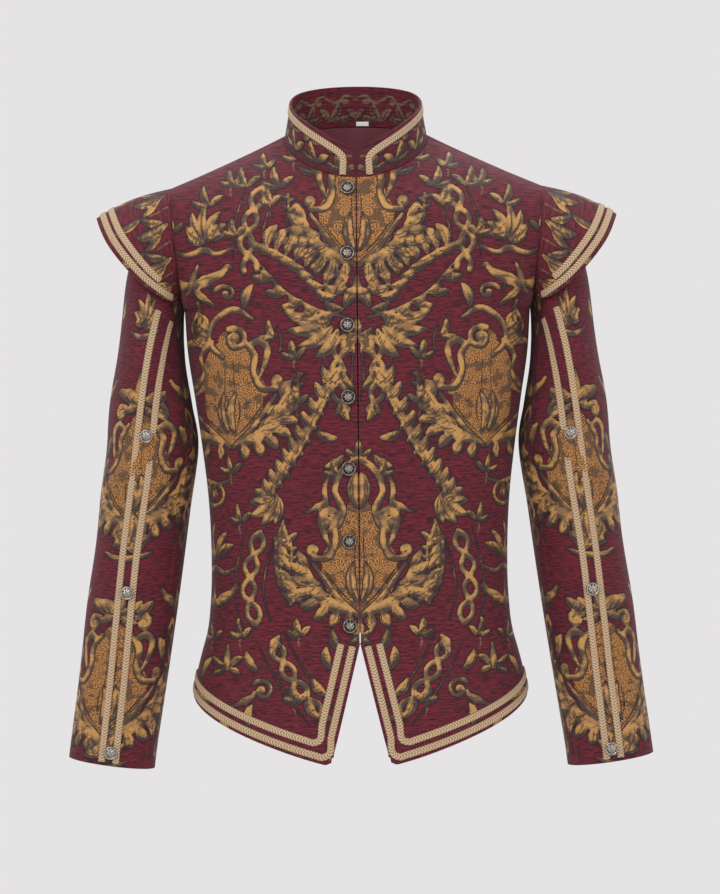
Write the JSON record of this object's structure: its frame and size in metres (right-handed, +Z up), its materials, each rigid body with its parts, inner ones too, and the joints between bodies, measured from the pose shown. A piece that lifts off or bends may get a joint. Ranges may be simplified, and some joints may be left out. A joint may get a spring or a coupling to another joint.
{
  "type": "jacket",
  "caption": "Fitted stand-collar jacket in figured jacquard cloth, with shoulder wings, long sleeves and a short split peplum, all edged with flat braid.",
  "frame": {"origin": "on the centre line between the shoulder points of the neck seam, where the wearer's shoulders carry the jacket", "axes": "+Z up the wearer's body, +X to the wearer's left, the front faces -Y"},
  "size_m": [0.665, 0.2477, 0.7843],
  "materials": {
    "jacquard": "burgundy and straw-gold figured weave",
    "lining": "rose satin",
    "braid": "matt straw-coloured flat braid",
    "button": "old silver, dull",
    "label": "plain white woven tape"
  },
  "bodies": {
    "root": {"back": "jacquard", "back_lining": "lining", "button_front_1": "button", "button_front_2": "button", "button_front_3": "button", "button_front_4": "button", "button_front_5": "button", "button_front_6": "button", "button_front_7": "button", "button_left_1": "button", "button_left_2": "button", "button_left_3": "button", "button_right_1": "button", "button_right_2": "button", "button_right_3": "button", "collar": "jacquard", "collar_braid": "braid", "front_left": "jacquard", "front_right": "jacquard", "label": "label", "peplum_back_left": "jacquard", "peplum_back_right": "jacquard", "peplum_braid_back_left_inner": "braid", "peplum_braid_back_left_outer": "braid", "peplum_braid_back_right_inner": "braid", "peplum_braid_back_right_outer": "braid", "peplum_braid_front_left_inner": "braid", "peplum_braid_front_left_outer": "braid", "peplum_braid_front_right_inner": "braid", "peplum_braid_front_right_outer": "braid", "peplum_front_left": "jacquard", "peplum_front_right": "jacquard", "sleeve_braid_left_inner": "braid", "sleeve_braid_left_outer": "braid", "sleeve_braid_right_inner": "braid", "sleeve_braid_right_outer": "braid", "sleeve_left_outer": "jacquard", "sleeve_left_under": "jacquard", "sleeve_right_outer": "jacquard", "sleeve_right_under": "jacquard", "wing_braid_left_inner": "braid", "wing_braid_left_outer": "braid", "wing_braid_right_inner": "braid", "wing_braid_right_outer": "braid", "wing_left": "jacquard", "wing_right": "jacquard"}
  },
  "joints": []
}
